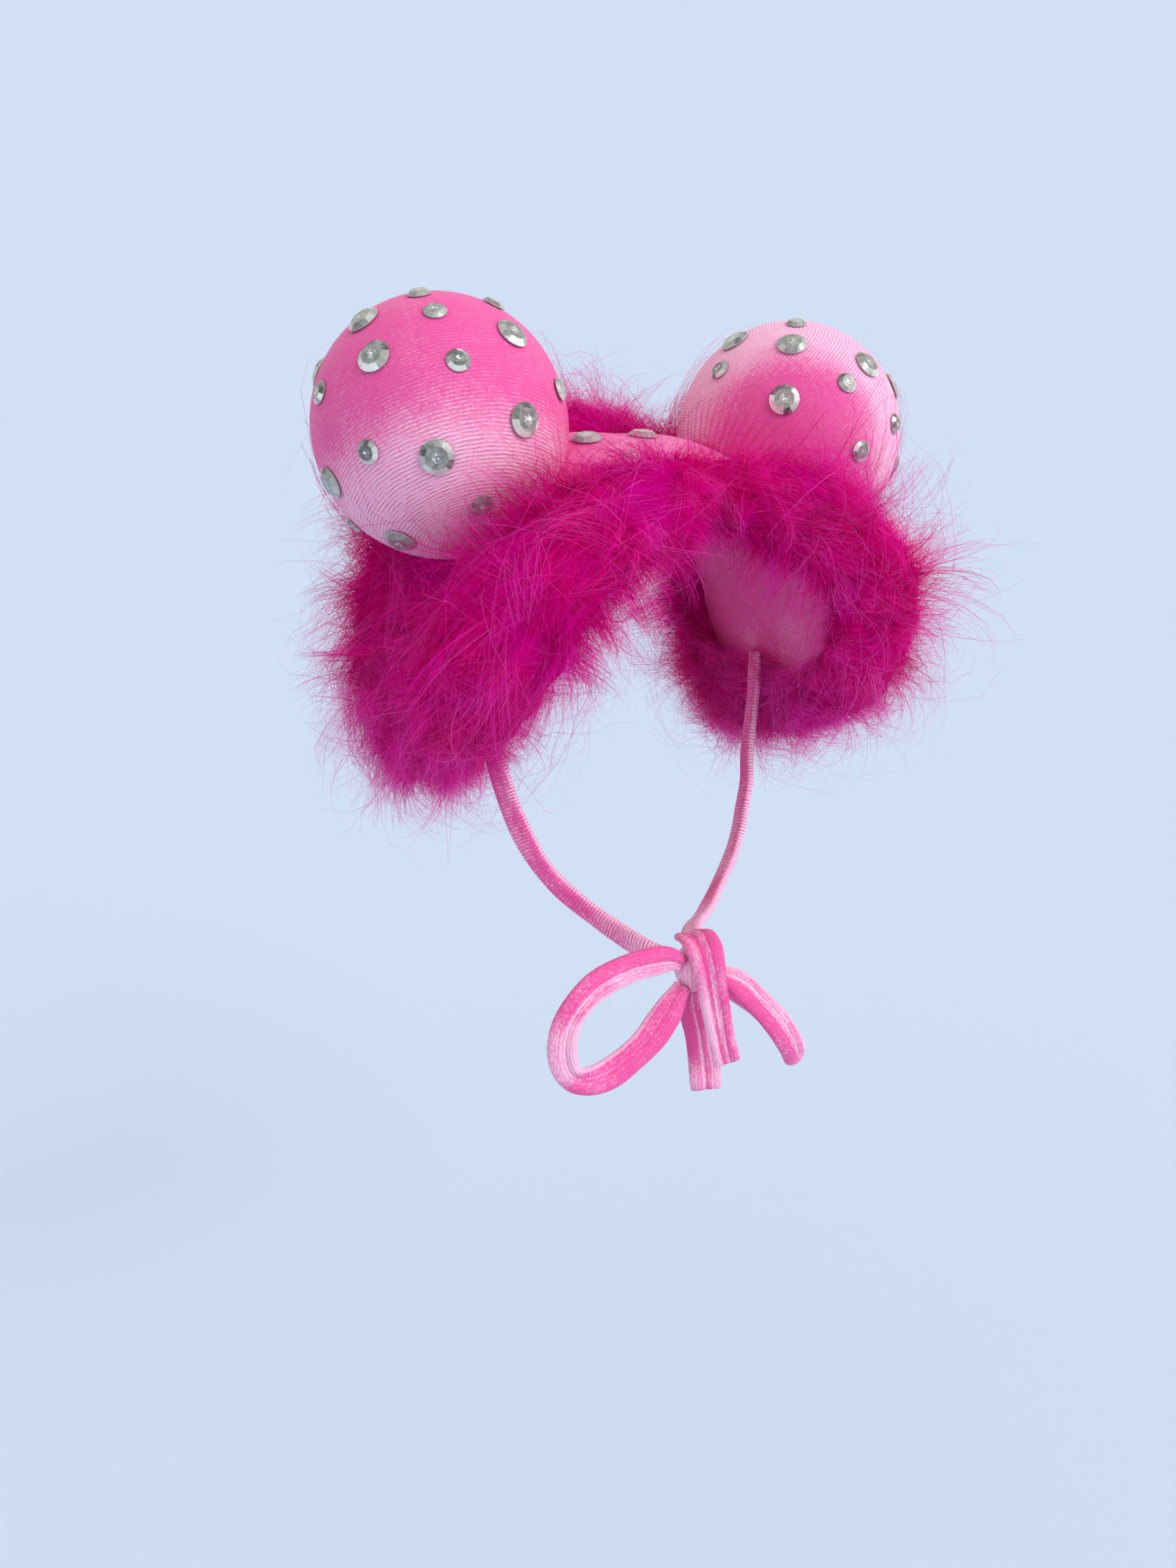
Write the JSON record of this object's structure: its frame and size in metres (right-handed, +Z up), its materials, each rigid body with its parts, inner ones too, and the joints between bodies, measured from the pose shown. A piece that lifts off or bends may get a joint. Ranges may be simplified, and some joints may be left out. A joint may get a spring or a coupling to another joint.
{
  "type": "ball-eared marabou bonnet",
  "caption": "Velvet half-bonnet with large ball ears, glued clear rhinestones, a thick marabou trim round its edge and chin ties tied in a bow.",
  "frame": {"origin": "middle of the crown's inside top, where the bonnet sits on the head", "axes": "+Z up, +X towards the wearer's left, -Y towards the wearer's face"},
  "size_m": [0.3244, 0.244, 0.3881],
  "materials": {
    "pink_velvet": "soft stretch velvet with a pale sheen",
    "magenta_marabou": "fluffy down",
    "clear_rhinestone": "cut and polished, silver backed"
  },
  "bodies": {
    "root": {"crown": "pink_velvet", "ear_ball_right": "pink_velvet", "ear_ball_left": "pink_velvet", "marabou_trim": "magenta_marabou", "bow_knot": "pink_velvet", "tie_right": "pink_velvet", "tie_left": "pink_velvet", "bow_loop_right": "pink_velvet", "bow_loop_left": "pink_velvet", "bow_tail_front": "pink_velvet", "bow_tail_back": "pink_velvet", "stone_right_01": "clear_rhinestone", "stone_right_02": "clear_rhinestone", "stone_right_03": "clear_rhinestone", "stone_right_04": "clear_rhinestone", "stone_right_05": "clear_rhinestone", "stone_right_06": "clear_rhinestone", "stone_right_07": "clear_rhinestone", "stone_right_08": "clear_rhinestone", "stone_right_09": "clear_rhinestone", "stone_right_10": "clear_rhinestone", "stone_right_11": "clear_rhinestone", "stone_right_12": "clear_rhinestone", "stone_right_13": "clear_rhinestone", "stone_right_14": "clear_rhinestone", "stone_right_15": "clear_rhinestone", "stone_right_16": "clear_rhinestone", "stone_right_17": "clear_rhinestone", "stone_right_18": "clear_rhinestone", "stone_right_19": "clear_rhinestone", "stone_right_20": "clear_rhinestone", "stone_right_21": "clear_rhinestone", "stone_right_22": "clear_rhinestone", "stone_left_01": "clear_rhinestone", "stone_left_02": "clear_rhinestone", "stone_left_03": "clear_rhinestone", "stone_left_04": "clear_rhinestone", "stone_left_05": "clear_rhinestone", "stone_left_06": "clear_rhinestone", "stone_left_07": "clear_rhinestone", "stone_left_08": "clear_rhinestone", "stone_left_09": "clear_rhinestone", "stone_left_10": "clear_rhinestone", "stone_left_11": "clear_rhinestone", "stone_left_12": "clear_rhinestone", "stone_left_13": "clear_rhinestone", "stone_left_14": "clear_rhinestone", "stone_left_15": "clear_rhinestone", "stone_left_16": "clear_rhinestone", "stone_left_17": "clear_rhinestone", "stone_left_18": "clear_rhinestone", "stone_crown_1": "clear_rhinestone", "stone_crown_2": "clear_rhinestone", "stone_crown_3": "clear_rhinestone", "stone_crown_4": "clear_rhinestone"}
  },
  "joints": []
}
